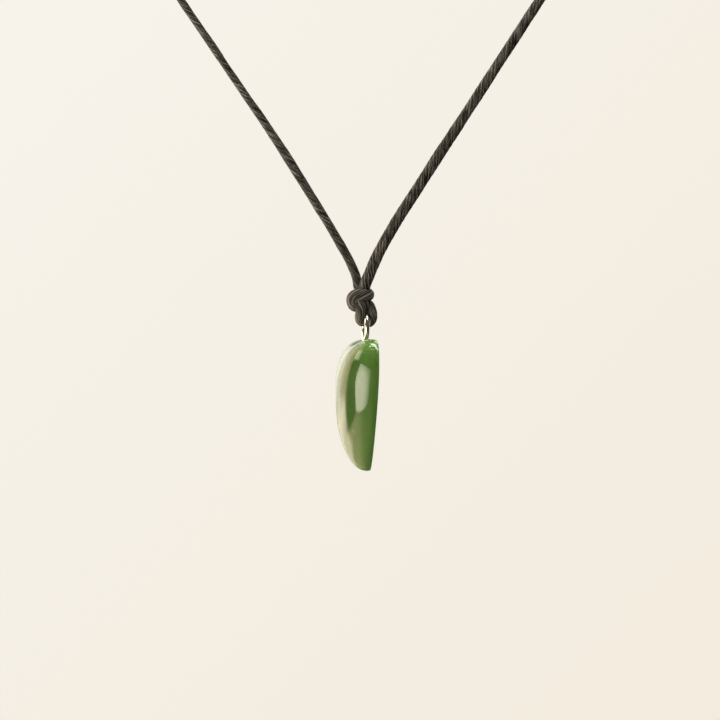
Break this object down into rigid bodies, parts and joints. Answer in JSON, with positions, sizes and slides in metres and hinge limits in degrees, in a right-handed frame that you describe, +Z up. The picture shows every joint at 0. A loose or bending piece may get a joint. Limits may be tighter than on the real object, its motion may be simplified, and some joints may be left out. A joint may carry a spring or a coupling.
{
  "type": "heart pendant necklace",
  "caption": "Domed heart of polished green stone on a silver eye, hung from an overhand knot in a black waxed neck cord with a barrel clasp at the nape.",
  "frame": {"origin": "middle of the barrel clasp at the nape, where the necklace hangs", "axes": "+Z up; the two sides of the cord open to -X and +X, the front of the necklace is at -Y, and the heart hangs side-on, its flat back to +X and its dome to -X"},
  "size_m": [0.1264, 0.0317, 0.1953],
  "materials": {
    "greenstone": "polished",
    "silver": "polished",
    "waxed_cord": "waxed satin",
    "clasp_metal": "satin"
  },
  "bodies": {
    "necklace": {"cord_left": "waxed_cord", "cord_right": "waxed_cord", "cord_knot": "waxed_cord", "clasp": "clasp_metal"},
    "pendant": {"heart_stone": "greenstone", "silver_eye": "silver"}
  },
  "joints": [
    {"name": "heart_swing", "type": "hinge", "parent": "necklace", "child": "pendant", "pos_m": [0.0001, -0.018, -0.1661], "axis": [0.9925, 0.1219, -0.0122], "range_deg": [-80, 80]}
  ]
}
